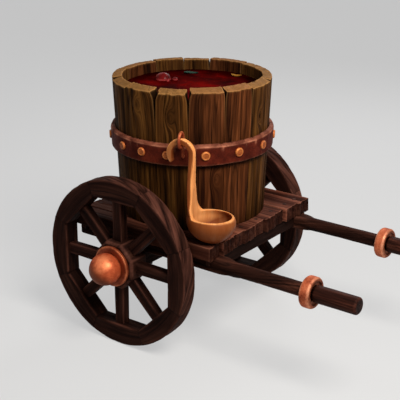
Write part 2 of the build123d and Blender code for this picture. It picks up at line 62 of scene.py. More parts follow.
shaft_rear, shaft_square_end, shaft_round_start, shaft_front = -0.536, 0.071, 0.127, 0.425
collar_front, collar_width, collar_radius = 0.433, 0.037, 0.052
grip_end, grip_radius = 0.584, 0.029
tub_x, tub_top = -0.236, 0.912
tub_foot_radius, tub_rim_radius, stave_wall = 0.258, 0.2783, 0.036
stave_start = -106.6
stave_spans = (27, 24, 26, 23, 28, 24, 35, 32, 22, 25, 36, 31, 27)
stave_drops = (4, 5, 0, 1, 6, 8, 11, 9, 13, 10, 12, 8, 9)
joint_openings = (5, 18, 13, 6, 5, 3, 3, 3, 10, 4, 4, 8, 5)
joint_opening_depth, joint_groove_depth = 0.045, 0.15
hoop_bottom, hoop_top, hoop_thickness = 0.655, 0.73, 0.017
rivet_angles_seen = (-138, -108, -89, -70, -44, -20, 4, 31)
rivets_behind = 7
ladle_way = 16.35
ladle_eye_place = (-0.070971, -0.277567)
stew_level, float_rise = 0.861, 0.003
floats = ((-0.134, 0.005, 0.027), (-0.091, 0.019, 0.01), (-0.1, -0.012, 0.006))


# Noise

seed_step, octave_step, octave_sum = 17.13, 3.7, 1.75
hash_primes, hash_mixer = (73856093, 19349663, 83492791), 1274126177


def smooth(x):
    """An even step from 0 at 0 to 1 at 1."""
    x = np.clip(x, 0, 1)
    return x * x * (3 - 2 * x)


def step(x, start, width):
    """An even step from 0 at a start to 1 at a width from it, which lies below the start if negative."""
    return smooth((x - start) / width)


def most(*fields):
    """The greatest of several fields at each point."""
    return reduce(np.maximum, fields)


def noise3(points, seed=0.0):
    """Smooth value noise from -1 to 1 at rows of points."""
    place = np.asarray(points, float) + seed * seed_step
    cell = np.floor(place).astype(np.int64)
    part = smooth(place - cell)
    total = np.zeros(len(place))
    for corner in np.ndindex(2, 2, 2):
        bits = np.array(corner[::-1])
        mixed = np.bitwise_xor.reduce((cell + bits) * hash_primes, axis=1)
        mixed = (mixed ^ (mixed >> 13)) * hash_mixer
        mixed = (mixed ^ (mixed >> 16)) & 0xFFFF
        total += (mixed / 32767.5 - 1) * np.prod(np.where(bits, part, 1 - part), axis=1)
    return total


def rough(points, scale, seed=0.0, octaves=3):
    """Layered noise from about -1 to 1; scale is cells per metre along each axis."""
    total = np.zeros(len(points))
    for octave in range(octaves):
        total += noise3(points * (np.array(scale) * 2 ** octave), seed + octave_step * octave) / 2 ** octave
    return total / octave_sum


def ridge(points, scale, seed, sharp):
    """Thin lines, 1 on the line and 0 away from it, that run along the least scaled axis."""
    return (1 - np.abs(noise3(points * scale, seed))) ** sharp


# Shapes

def columns(*parts):
    return np.stack(parts, -1)


def grid_quads(index):
    """Quads between neighbours in a grid of point numbers."""
    return columns(index[:-1, :-1], index[1:, :-1], index[1:, 1:], index[:-1, 1:]).reshape(-1, 4)


def fan(ring, after, middle):
    """Triangles from each point of a ring and the one after it to a middle, as quads with a double corner."""
    centre = np.full(len(ring), middle)
    return columns(ring, after, centre, centre)


def lattice(half, bevel, count):
    """Places of the grid lines along one side of a rounded box."""
    inner = np.linspace(bevel - half, half - bevel, count + 1)
    return np.concatenate([[-half, 0.3 * bevel - half], inner, [half - 0.3 * bevel, half]])


def block(half, bevel, counts):
    """A rounded box: points, outward normals, closeness to an edge from 0 to 1, and quads."""
    lines = [lattice(h, bevel, c) for h, c in zip(half, counts)]
    shape = [len(line) for line in lines]
    triples, quads, base = [], [], 0
    for axis in range(3):
        u, v = (axis + 1) % 3, (axis + 2) % 3
        for side in (0, shape[axis] - 1):
            gu, gv = np.meshgrid(np.arange(shape[u]), np.arange(shape[v]), indexing="ij")
            spot = np.zeros(gu.shape + (3,), int)
            spot[..., axis], spot[..., u], spot[..., v] = side, gu, gv
            quad = grid_quads(base + np.arange(gu.size).reshape(gu.shape))
            triples.append(spot.reshape(-1, 3))
            quads.append(quad if side else quad[:, ::-1])
            base += gu.size
    unique, inverse = np.unique(np.concatenate(triples), axis=0, return_inverse=True)
    quads = inverse.reshape(-1)[np.concatenate(quads)]
    raw = columns(*(lines[k][unique[:, k]] for k in range(3)))
    core = np.clip(raw, bevel - half, half - bevel)
    normal = raw - core
    normal /= np.linalg.norm(normal, axis=1, keepdims=True)
    inset = np.sort(half - np.abs(raw), axis=1)[:, 1]
    return core + bevel * normal, normal, np.clip(1 - inset / (2.5 * bevel), 0, 1), quads


def worn_in(points, normal, grain, groove, scale, seed, wave, cut=0.0, shaving=0.0):
    """A surface shaved down, with waves in it and grooves cut along its grain."""
    carve = wave * rough(grain, scale, seed) - cut * groove - shaving
    return points + normal * carve[:, None]


def rounded(corners, bevel, pitch):
    """A closed outline with rounded corners and runs divided at about a pitch."""
    corners = np.array(corners, float)
    points = []
    for corner, last, following in zip(corners, np.roll(corners, 1, axis=0), np.roll(corners, -1, axis=0)):
        before, after = last - corner, following - corner
        cut = min(bevel, np.linalg.norm(before) / 2.2, np.linalg.norm(after) / 2.2)
        start = corner + before / np.linalg.norm(before) * cut
        stop = corner + after / np.linalg.norm(after) * cut
        for t in np.linspace(0, 1, 5):
            points.append((1 - t) ** 2 * start + 2 * t * (1 - t) * corner + t * t * stop)
    full = []
    for point, after in zip(points, points[1:] + points[:1]):
        parts = max(1, int(round(np.linalg.norm(after - point) / pitch)))
        full += [point + (after - point) * k / parts for k in range(parts)]
    return np.array(full)


def ring_angles(count):
    return np.linspace(0, 2 * pi, count, endpoint=False)


def turned(outline, count, closed=True):
    """A closed or open outline of (radius, height) turned about Z: points and quads."""
    radius, height = np.array(outline, float).T
    angle = ring_angles(count)[:, None]
    points = columns(radius * np.cos(angle), radius * np.sin(angle), height + 0 * angle).reshape(-1, 3)
    index = np.arange(len(points)).reshape(count, -1)
    return points, grid_quads(np.pad(index, ((0, 1), (0, int(closed))), mode="wrap"))


def capped(outline, count):
    """An open outline turned about Z, with its two ends closed."""
    points, quads = turned(outline, count, closed=False)
    first = np.arange(count) * len(outline)
    last = first + len(outline) - 1
    low = fan(np.roll(first, -1), first, len(points))
    high = fan(last, np.roll(last, -1), len(points) + 1)
    middles = [[0, 0, outline[0][1]], [0, 0, outline[-1][1]]]
    return np.concatenate([points, middles]), np.concatenate([quads, low, high])


def widened(points, factor):
    """A shape about Z, its radii scaled point by point."""
    return points * columns(factor, factor, np.ones(len(factor)))


def joined(parts):
    """Several (points, quads, grain, look) as one."""
    base, out = 0, [[], [], [], []]
    for points, quads, grain, look in parts:
        for store, value in zip(out, (points, quads + base, grain, look)):
            store.append(value)
        base += len(points)
    return [np.concatenate(store) for store in out]


# A look: edge brings in wear and painted highlights, tone varies, and the third channel darkens for dirt and
# for painted shade.
def look_of(edge, dirt_and_shade=0.0, tone=0.5):
    return columns(edge, *(np.broadcast_to(value, len(edge)) for value in (tone, dirt_and_shade)))


def added(name, data):
    """A new object in the scene."""
    obj = bpy.data.objects.new(name, data)
    bpy.context.scene.collection.objects.link(obj)
    return obj


def piece(name, body, slot, material, points, quads, grain, look):
    """A shown mesh that rides on a body; grain is (across, across, along), look is (edge, tone, dirt and
    shade).
    """
    a, b, c, d = (points[quads[:, k]] for k in range(4))
    volume = np.sum(a * np.cross(b, c)) + np.sum(a * np.cross(c, d))
    if volume < 0:
        quads = quads[:, ::-1]
    faces = [list(dict.fromkeys(quad)) for quad in quads.tolist()]
    mesh = bpy.data.meshes.new(name)
    mesh.from_pydata(points.tolist(), [], faces)
    mesh.polygons.foreach_set("use_smooth", np.ones(len(faces), bool))
    for key, value in (("grain", grain), ("look", look)):
        layer = mesh.attributes.new(key, "FLOAT_VECTOR", "POINT")
        layer.data.foreach_set("vector", np.asarray(value, np.float32).reshape(-1))
    mesh.materials.append(material)
    obj = added(name, mesh)
    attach(obj, body)
    return obj


def dressed(cad, ending, *rest):
    """A piece that takes the place of a CAD node, and has its name with an ending."""
    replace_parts(piece(f"{cad}_{ending}", *rest), cad)


# Materials

def linear(rgb, share=1.0):
    """A share of a colour that is picked as screen values from 0 to 255."""
    parts = [value / 255 for value in rgb]
    return tuple(share * (v / 12.92 if v < 0.04045 else ((v + 0.055) / 1.055) ** 2.4) for v in parts) + (1.0,)


def wire(made, inputs):
    """Sets a node's inputs; a value that is a socket is linked."""
    for key, value in inputs.items():
        if isinstance(value, bpy.types.NodeSocket):
            made.id_data.links.new(value, made.inputs[key])
        else:
            made.inputs[key].default_value = value


def node(kind, inputs, out=0, tree=None, **settings):
    """An output of a new shader node, in the tree of the sockets that lead to it unless a tree is given."""
    if tree is None:
        tree = next(value.id_data for value in inputs.values() if isinstance(value, bpy.types.NodeSocket))
    made = tree.nodes.new("ShaderNode" + kind)
    for key, value in settings.items():
        setattr(made, key, value)
    wire(made, inputs)
    return made.outputs[out]


def mix(factor, colour, rgb, share=1.0):
    """A colour mixed with a share of a plain one."""
    return node("Mix", {0: factor, 6: colour, 7: linear(rgb, share)}, 2, data_type="RGBA")


def maths(operation, a, b=0.0):
    return node("Math", {0: a, 1: b}, operation=operation)


def times(a, b):
    return maths("MULTIPLY", a, b)


def blend(a, share_a, b, share_b):
    return maths("ADD", times(a, share_a), times(b, share_b))


def vector_maths(operation, a, b):
    return node("VectorMath", {0: a, 1: b}, operation=operation)


def scaled(colour, factor):
    return node("VectorMath", {0: colour, "Scale": factor}, operation="SCALE")


def spread(value, low, high, to_low=0, to_high=1):
    """A value's range from low to high laid onto another range."""
    return node("MapRange", {0: value, 1: low, 2: high, 3: to_low, 4: to_high})


def thin_lines(field, width):
    """1 where a noise field crosses its middle value, 0 from a width on."""
    return spread(maths("ABSOLUTE", maths("SUBTRACT", field, 0.5)), 0, width, 1, 0)


def ramp(value, *stops):
    """A colour by value, from stops of (value, rgb)."""
    colour = node("ValToRGB", {0: value})
    elements = colour.node.color_ramp.elements
    while len(elements) < len(stops):
        elements.new(0.5)
    for element, (place, rgb) in zip(elements, stops):
        element.position = place
        element.color = linear(rgb)
    return colour


def noise(vector, scale, detail=2.0, roughness=0.5, out=0):
    inputs = {"Vector": vector, "Scale": scale, "Detail": detail, "Roughness": roughness}
    return node("TexNoise", inputs, out)


def stretched(vector, across, along, detail=2.0, roughness=0.5, out=0):
    """Noise drawn out along the grain."""
    squeezed = node("Mapping", {0: vector, 3: (across, across, along)})
    return noise(squeezed, 1.0, detail, roughness, out)


def bump(height, strength, distance):
    return node("Bump", {"Strength": strength, "Distance": distance, "Height": height})


def parts_of(vector):
    return list(node("SeparateXYZ", {0: vector}).node.outputs)


def look_parts(tree):
    """The piece's own edge, tone, and dirt with painted shade."""
    return parts_of(node("Attribute", {}, 1, tree, attribute_name="look"))


def frame_place(tree):
    return node("TexCoord", {}, 3, tree)


def grain_vector(tree, along=None):
    """The piece's own grain, or for a CAD node the place in the frame with that axis as the grain."""
    if along is None:
        return node("Attribute", {}, 1, tree, attribute_name="grain")
    parts = parts_of(frame_place(tree))
    order = [axis for axis in range(3) if axis != along] + [along]
    return node("CombineXYZ", {k: parts[axis] for k, axis in enumerate(order)})


def new_material(name):
    material = bpy.data.materials.new(name)
    material.use_nodes = True
    tree = material.node_tree
    return material, tree, tree.nodes["Principled BSDF"]


def wood(name, dark, mid, light, worn=None, *, line, wear=0.6, relief=0.6, gloss=0.62, along=None, cracks=0.8,
         shine=0.03, shade_and_stain_colour=None, patchy=0.1):
    """Old carved wood: streaks and fibres along the grain, dark checks, pale worn edges and painted
    highlights, and darkening for dirt and painted shade, or a mix towards a colour of painted shade and
    stain.

    line is about the number of streaks across a metre. A CAD node has no look of its own, so its wood has no
    worn colour, and names the axis that its grain runs along.
    """
    material, tree, shader = new_material(name)
    vector = grain_vector(tree, along)
    drift = vector_maths("SUBTRACT", stretched(vector, 7, 2.4, out=1), (0.5, 0.5, 0.5))
    drift = vector_maths("MULTIPLY", drift, (0.03, 0.03, 0.0))
    vector = vector_maths("ADD", vector, drift)
    streak = stretched(vector, line, line * 0.045, detail=4.0, roughness=0.62)
    fibre = stretched(vector, line * 4.2, line * 0.16, roughness=0.6)
    crack = thin_lines(stretched(vector, line * 0.42, line * 0.02, detail=1.0, roughness=0.4), 0.022)
    check = thin_lines(stretched(vector, line * 1.1, line * 0.035, detail=1.0, roughness=0.4), 0.03)
    broken = spread(stretched(vector, line * 0.3, line * 0.12), 0.42, 0.58)
    crack = times(crack, broken)
    check = times(check, maths("SUBTRACT", 1.0, broken))
    lines = times(maths("MAXIMUM", crack, times(check, 0.6)), cracks)
    value = blend(streak, 0.68, fibre, 0.32)
    colour = ramp(value, (0.36, dark), (0.5, mid), (0.64, light))
    mottle = stretched(vector, 9.0, 4.0, detail=3.0, roughness=0.6)
    shade = spread(mottle, 0.3, 0.7, 0.72, 1.22)
    if worn:
        edge, tone, dirt_and_shade = look_parts(tree)
        shade = times(shade, spread(tone, 0, 1, 0.72, 1.28))
        if not shade_and_stain_colour:
            shade = times(shade, spread(dirt_and_shade, 0, 1, 1, 0.1))
    colour = scaled(colour, shade)
    # On the ladle the third look channel mixes towards a colour that is painted shade with a stew stain.
    if shade_and_stain_colour:
        colour = mix(dirt_and_shade, colour, shade_and_stain_colour)
    colour = mix(lines, colour, dark, share=0.32)
    # The edge channel brings in the worn colour: wear, and on the ladle a painted highlight.
    if worn:
        patches = stretched(vector, line * 0.9, line * 0.2, detail=3.0, roughness=0.65)
        rub = times(edge, spread(patches, 0.38, 0.6, patchy, 1.0))
        colour = mix(times(rub, wear), colour, worn)
    height = maths("SUBTRACT", value, times(lines, 0.55))
    wire(shader, {
        "Base Color": colour,
        "Roughness": spread(value, 0.35, 0.65, gloss + 0.16, gloss - 0.08),
        "Normal": bump(height, relief, distance=0.004),
        "Specular IOR Level": shine})
    return material


def metal(name, dark, mid, light, worn, *, gloss, metallic, hammer, relief=0.25, wear=0.6, shine=0.5,
          rim=(1.0, 1.0, 1.0)):
    """Beaten metal: dark oxide in patches, hammer marks, fine scratches, bright worn edges and painted
    highlights, and darkening for tarnish, dirt and painted shade.
    """
    material, tree, shader = new_material(name)
    vector = grain_vector(tree)
    patch = noise(vector, 26.0, detail=5.0, roughness=0.65)
    speck = noise(vector, 240.0)
    value = blend(patch, 0.75, speck, 0.25)
    edge, _, dirt_and_shade = look_parts(tree)
    colour = ramp(value, (0.34, dark), (0.5, mid), (0.68, light))
    colour = scaled(colour, spread(dirt_and_shade, 0, 1, 1, 0.2))
    # The edge channel brings in the worn colour as wear and as painted highlight; the third channel darkens
    # for tarnish, dirt and painted shade.
    rub = times(edge, spread(patch, 0.35, 0.6, 0.2, 1.0))
    colour = mix(times(rub, wear), colour, worn)
    dents = node("TexVoronoi", {"Vector": vector, "Scale": hammer}, feature="SMOOTH_F1")
    wire(shader, {
        "Base Color": colour,
        "Roughness": spread(value, 0.35, 0.65, gloss + 0.18, gloss - 0.06),
        "Normal": bump(blend(dents, 0.7, speck, 0.12), relief, distance=0.003),
        "Metallic": metallic,
        "Specular Tint": rim + (1.0,),
        "Specular IOR Level": shine})
    return material


hewn = {"line": 38, "wear": 0.95, "relief": 0.9, "cracks": 1.0, "patchy": 0.8}
cart_wood = wood("cart_wood", (22, 10, 7), (48, 25, 18), (84, 48, 36), (108, 66, 52), line=34, wear=0.5)
wheel_wood = wood("wheel_wood", (26, 12, 9), (43, 22, 16), (60, 34, 25), (124, 76, 62), line=34)
# A darker copy of the cart wood as painted shade, for the beam and rails under the deck.
shaded_cart_wood_y = wood("shaded_cart_wood_along_y", (16, 8, 6), (30, 16, 12), (48, 28, 22), line=34, along=1, shine=0.02)
peg_wood = wood("peg_wood", (30, 15, 11), (52, 29, 22), (80, 48, 37), line=60, along=2, shine=0.06)
deck_wood = wood("deck_wood", (58, 28, 20), (112, 62, 47), (152, 92, 70), (172, 110, 86), line=30, wear=0.5)
stave_wood = wood("stave_wood", (32, 16, 4), (74, 43, 16), (114, 73, 32), (156, 112, 64), **hewn)
stave_wood_red = wood("stave_wood_red", (36, 14, 6), (76, 39, 17), (116, 65, 35), (158, 111, 65), **hewn)
floor_wood = wood("floor_wood", (34, 17, 4), (74, 42, 15), (112, 70, 30), line=30, along=0)
grip_wood = wood("grip_wood", (22, 9, 6), (50, 24, 17), (90, 50, 38), (104, 60, 48), line=44, wear=0.35,
                 gloss=0.5, shine=0.04)
# Its worn colour is a painted highlight on the ladle's lit side, and its last colour is painted shade with a
# stew stain.
ladle_wood = wood("ladle_wood", (220, 136, 74), (238, 156, 90), (246, 174, 108), (252, 196, 138), line=60,
                  wear=0.35, relief=0.14, gloss=0.5, cracks=0.16, shine=0.14, shade_and_stain_colour=(116, 52, 14))
copper = metal("copper", (118, 46, 25), (184, 92, 58), (222, 134, 94), (242, 170, 132), gloss=0.5,
               metallic=0.35, hammer=38, relief=0.08, shine=0.3, rim=(1.0, 0.66, 0.48))
# Its worn colour is also the painted highlight on the hub caps and on the ladle's eye.
hub_copper = metal("hub_copper", (136, 50, 26), (188, 82, 46), (210, 108, 66), (240, 140, 92), gloss=0.46,
                   metallic=0.35, hammer=38, relief=0.05, wear=0.8, shine=0.35, rim=(1.0, 0.6, 0.4))
rivet_brass = metal("rivet_brass", (112, 48, 16), (176, 88, 34), (208, 120, 54), (228, 148, 80), gloss=0.46,
                    metallic=0.3, hammer=160, relief=0.1, shine=0.3)
# Its worn colour is also the painted highlight line on the hoop's outer top corner.
hoop_metal = metal("hoop_metal", (52, 14, 6), (76, 23, 11), (102, 36, 19), (212, 138, 106), gloss=0.62,
                   metallic=0.0, hammer=42, relief=0.4, wear=0.9, shine=0.08)
iron = metal("iron", (22, 20, 19), (42, 38, 36), (66, 60, 56), (66, 60, 56), gloss=0.55, metallic=0.7,
             hammer=90)


# Tub

# By stave: how light it is, which ones are redder, and a knot's angle in degrees and height
stave_tones = (0.5, 0.7, 0.3, 0.8, 0.8, 0.3, 0.6, 0.4, 0.7, 0.5, 0.35, 0.65, 0.35)
red_staves = (2, 3, 7, 10)
knots = {0: (-95.0, 0.845), 1: (-69.0, 0.815), 2: (-36.0, 0.60), 4: (3.0, 0.79), 6: (60.0, 0.55),
         9: (148.0, 0.81), 11: (-158.0, 0.57)}
# Half width and half height of a knot's swirl and of its heart
knot_sizes = ((0.015, 0.033), (0.0045, 0.011))
# The angle of the side that the photo shows
photo_side = -53


def tub_radius(z):
    return tub_foot_radius + (z - deck_top) * (tub_rim_radius - tub_foot_radius) / (tub_top - deck_top)


def about_tub(radius, angle, z):
    return columns(tub_x + radius * np.cos(angle), radius * np.sin(angle), z)


def knot_in(index, angle, z):
    """How near each point of a stave is to its knot, as a wide swirl and a small heart."""
    if index not in knots:
        return np.zeros((2, len(z)))
    turn, level = knots[index]
    across = (angle - radians(turn)) * tub_rim_radius
    return [np.exp(-(across / wide) ** 2 - ((z - level) / tall) ** 2) for wide, tall in knot_sizes]


def stave(index):
    """One worn stave: split along its grain, opened at the joints, its rim hacked to a slope in front."""
    span = radians(stave_spans[index])
    low = radians(stave_start + sum(stave_spans[:index]))
    height = tub_top - stave_drops[index] / 1000 - deck_top
    half = np.array([tub_rim_radius * span / 2, stave_wall / 2, height / 2])
    points, normal, edge, quads = block(half, bevel=0.0022, counts=(int(half[0] * 2 / 0.0034), 8, 96))
    rise = np.clip((points[:, 2] + half[2]) / height, 0, 1)
    z = deck_top + rise * height
    u = np.clip(points[:, 0] / half[0], -1, 1)
    grain = points + (index * 0.71, index * 0.37, index * 0.53)
    swirl, heart = knot_in(index, low + (u + 1) / 2 * span, z)
    grain[:, 0] += 0.034 * swirl
    groove = ridge(grain, (40, 40, 1.5), seed=1, sharp=12)
    points = worn_in(points, normal, grain, groove, (52, 52, 2.6), 2, wave=0.0009, cut=0.0028, shaving=0.0006)
    out = np.clip((points[:, 1] + half[1]) / stave_wall, 0, 1)

    below = (1 - rise) * height
    open_through = np.clip(1 - below / joint_opening_depth, 0, 1)
    groove_open = np.clip(1 - below / joint_groove_depth, 0, 1) ** 1.5 * step(out, 0.2, 0.6)
    wide = most(0.8 * open_through, groove_open * (0.8 + 0.9 * open_through ** 2))
    gaps = [0.0006 + wide * joint_openings[k % len(joint_openings)] / 1000 for k in (index, index + 1)]
    start = low + gaps[0] / 2 / tub_rim_radius
    stop = low + span - gaps[1] / 2 / tub_rim_radius

    facing = step(cos(low + span / 2 - radians(photo_side)), -0.35, 0.8)
    hack = 0.3 * rough(grain * (1, 0.3, 0), (46, 20, 1), seed=5)
    slope = (0.002 + 0.0095 * facing) * out ** 1.3 * (1 + hack)
    chip = 0.0022 * np.clip(rough(grain * (1, 1, 0), (70, 30, 1), seed=6), 0, 1)
    z = z - step(rise, 0.9, 0.1) * (slope + chip)
    radius = tub_radius(z) - stave_wall / 2 + points[:, 1]
    points = about_tub(radius, start + (u + 1) / 2 * (stop - start), z)

    flat = step(normal[:, 2], 0.25, 0.4)
    outside = step(normal[:, 1], -0.2, 0.4)
    rubbed_rim = flat * (0.6 + 0.4 * smooth(1.4 * edge))
    edge = most(rubbed_rim, 0.35 * edge * step(rise, 0.6, 0.4))
    # Painted shade at the foot by the deck, a painted shadow in a band under the hoop, and painted shade with
    # dirt on the joint faces; the inner faces are darker, and knot hearts and grooves are dark in the wood.
    shade_at_foot, inside = 0.5 * smooth(1 - rise * 5), 0.4 * (1 - outside) * (1 - flat)
    shadow_under_hoop = 0.8 * smooth(1 - np.abs(z - hoop_bottom + 0.008) / 0.016) * outside
    in_grooves = (0.42 + 0.48 * outside) * groove * (1 - flat)
    shade_and_dirt_at_joints = step(np.abs(u), 0.985, 0.015) * (1 - flat)
    dirt_and_shade = most(np.clip(shade_at_foot + inside + 0.7 * heart, 0, 1), shadow_under_hoop, in_grooves, shade_and_dirt_at_joints)
    material = stave_wood_red if index in red_staves else stave_wood
    dressed(f"stave_{index + 1:02d}", "worn", "cart", "stave_wood", material, points, quads, grain,
            look_of(edge, dirt_and_shade, stave_tones[index]))


def hoop():
    """The hoop, forged a little uneven, with a rubbed and nicked upper edge and a painted highlight line
    along its outer top corner.
    """
    count, close = 420, 0.0001
    corners = [
        (close, hoop_bottom), (hoop_thickness - 0.002, hoop_bottom), (hoop_thickness, hoop_bottom + 0.003),
        (hoop_thickness, hoop_top - 0.009), (hoop_thickness - 0.004, hoop_top - 0.001), (close, hoop_top)]
    outline = rounded(corners, bevel=0.0025, pitch=0.004)
    _, quads = turned(outline, count)
    angle = np.repeat(ring_angles(count), len(outline))
    depth, z = np.tile(outline, (count, 1)).T
    place = columns(np.cos(angle), np.sin(angle), z)
    upper = smooth((z - hoop_top + 0.012) / 0.005)
    lower = smooth((hoop_bottom + 0.006 - z) / 0.004)
    outer = step(depth / hoop_thickness, 0.3, 0.4)
    corner = smooth(1 - np.abs(z - hoop_top + 0.0085) / 0.0045) * step(depth, 0.011, 0.003)
    nick = np.clip(rough(place, (24, 24, 0.1), seed=6, octaves=2) - 0.3, 0, 1)
    chipped = smooth(6 * nick - 0.6) * smooth((z - hoop_top + 0.03) / 0.014)
    wander = 0.0014 * noise3(place * (5, 5, 0), seed=3) - 0.0014
    z = z + upper * (wander - 0.012 * nick) - lower * (wander + 0.004 * nick)
    depth = depth - outer * (0.0007 + 0.0007 * rough(place, (14, 14, 60), seed=2) + 0.006 * nick * upper)
    points = about_tub(tub_radius(z) + most(depth, close), angle, z)
    wear_and_painted_light = smooth(rough(place, (9, 9, 0.1), seed=8, octaves=2) + 0.5)
    # Edge: wear on the upper band, the lower edge and the chips, and a painted highlight line along the outer
    # top corner.
    edge = most(upper * (0.2 + 0.14 * wear_and_painted_light), (0.25 + 0.75 * wear_and_painted_light) * corner, 0.3 * lower * outer,
                0.6 * chipped * outer)
    # Darker where the hoop meets the staves and along its lower edge.
    dirt_and_shade = most(0.6 * step(depth, 0.006, -0.004), 0.35 * lower)
    dressed("hoop", "worn", "cart", "hoop_metal", hoop_metal, points, quads, points, look_of(edge, dirt_and_shade))


def placed(points, origin, out):
    """Points of a shape about Z moved so that Z points out from an origin."""
    z = Vector(out).normalized()
    x = Vector((0, 0, 1)).cross(z).normalized()
    return points @ np.array([x, z.cross(x), z]) + origin


rivet_height, rivet_lean = 0.6925, -0.042
rivet_outline = (
    (0.0152, -0.003), (0.0158, 0.0004), (0.0159, 0.0018), (0.015, 0.0042), (0.0134, 0.006), (0.0117, 0.0067),
    (0.0103, 0.0064), (0.0094, 0.0057), (0.0078, 0.0058), (0.0054, 0.0063), (0.0027, 0.0065),
    (0.0008, 0.0066))


def rivets():
    """Rivets with a raised collar round a low dome, each a little different in size and height."""
    first, last = rivet_angles_seen[0] + 360, rivet_angles_seen[-1]
    pitch = (first - last) / (rivets_behind + 1)
    angles = list(rivet_angles_seen) + [last + pitch * (k + 1) for k in range(rivets_behind)]
    shape, quads = capped(rivet_outline, 32)
    size = np.hypot(shape[:, 0], shape[:, 1])
    edge = step(size, 0.0098, 0.002) * step(size, 0.0157, -0.0012)
    hollow = 0.3 * step(size, 0.0106, -0.0016)
    radius = tub_radius(rivet_height) + hoop_thickness - 0.0008
    parts = []
    for k, angle in enumerate(angles):
        turn = radians(angle)
        out = (cos(turn), sin(turn), rivet_lean)
        middle = (tub_x + radius * cos(turn), radius * sin(turn), rivet_height + 0.001 * sin(k * 3.1))
        points = placed(shape * (0.96 + 0.04 * sin(k * 5.3)), middle, out)
        parts.append((points, quads, points, look_of(edge, hollow)))
    dressed("hoop_rivets", "domed", "cart", "rivet_brass", rivet_brass, *joined(parts))


for index in range(len(stave_spans)):
    stave(index)
hoop()
rivets()


# Stew and what floats in it

def broth():
    """Dark red stew with a slow swell and flecks, darker towards the staves as painted shade."""
    material, tree, shader = new_material("stew")
    place = frame_place(tree)
    cloud = noise(place, 11.0, detail=5.0, roughness=0.6)
    swell = noise(place, 16.0, detail=3.0)
    fleck = node("TexVoronoi", {"Vector": place, "Scale": 55.0})
    shade_by_wall = look_parts(tree)[2]
    colour = ramp(cloud, (0.34, (38, 1, 1)), (0.5, (66, 2, 2)), (0.68, (104, 6, 4)))
    colour = mix(spread(fleck, 0.03, 0.1, 0.5, 0.0), colour, (176, 70, 40))
    wire(shader, {
        "Base Color": scaled(colour, spread(shade_by_wall, 0, 1, 1, 0.26)),
        "Roughness": spread(cloud, 0.3, 0.7, 0.3, 0.5),
        "Normal": bump(swell, 0.25, distance=0.01),
        "IOR": 1.16,
        "Specular IOR Level": 0.006})
    return material


def cooked(name, dark, light, scale, gloss=0.35, shine=0.06, rim=None):
    """Soft cooked food: two tones in patches, with a damp shine, and a pale ring where it leaves the stew
    that is a painted highlight.
    """
    material, tree, shader = new_material(name)
    patch = noise(grain_vector(tree), scale, detail=4.0, roughness=0.6)
    colour = ramp(patch, (0.38, dark), (0.6, light))
    if rim:
        colour = mix(look_parts(tree)[0], colour, rim)
        wire(shader, {"Sheen Weight": 0.16, "Sheen Roughness": 0.4, "Sheen Tint": linear((255, 110, 104))})
    wire(shader, {
        "Base Color": colour,
        "Roughness": spread(patch, 0.3, 0.7, gloss + 0.1, gloss - 0.08),
        "Normal": bump(patch, 0.3, distance=0.002),
        "Specular IOR Level": shine})
    return material


rings_round_leaves = ((-0.111, 0.139, 0.03), (0.047, 0.199, 0.022))


def stew():
    """The stew, with slow waves and with rings round what floats in it."""
    floor_z, core = 0.472, 0.002
    level = [(r, stew_level) for r in np.linspace(core, 0.238, 96)]
    side = [(tub_radius(z) - stave_wall + 0.0012, z) for z in np.linspace(stew_level, floor_z, 12)]
    points, quads = capped(level + side + [(r, floor_z) for r in (0.16, 0.08, core)], 180)
    points = points + (tub_x, 0, 0)
    top = points[:, 2] > stew_level - 1e-6
    lift = 0.0016 * rough(points * (1, 1, 0), (14, 14, 1), seed=4)
    for x, y, size in floats + rings_round_leaves:
        away = np.hypot(points[:, 0] - tub_x - x, points[:, 1] - y)
        lift += 0.0022 * np.cos((away - size) * 2 * pi / 0.016) * np.exp(-np.clip(away - size, 0, 1) / 0.012)
    points[:, 2] += np.where(top, lift, 0)
    # Painted shade: the stew darker towards the staves.
    shade_by_wall = step(np.hypot(points[:, 0] - tub_x, points[:, 1]), 0.15, 0.08)
    look = look_of(np.zeros(len(points)), shade_by_wall)
    dressed("stew", "simmering", "cart", "stew", broth(), points, quads, points, look)


def lumps(material):
    """The round vegetables, cooked uneven, half under the surface."""
    shape, quads = capped([(cos(t), sin(t)) for t in np.linspace(-0.49 * pi, 0.49 * pi, 22)], 36)
    parts = []
    for k, (x, y, radius) in enumerate(floats):
        dented = shape * (radius * (1 + 0.1 * rough(shape, (1.6, 1.6, 1.6), 2 + 3 * k) - 0.06))[:, None]
        points = dented * (1.1, 1.0, 0.86) + (tub_x + x, y, stew_level + float_rise)
        # A painted highlight: a pale ring where each lump leaves the stew.
        edge = 0.8 * smooth(1 - np.abs(points[:, 2] - stew_level - 0.002) / 0.006)
        parts.append((points, quads, points, look_of(edge)))
    dressed("vegetables", "cooked", "cart", "vegetables", material, *joined(parts))


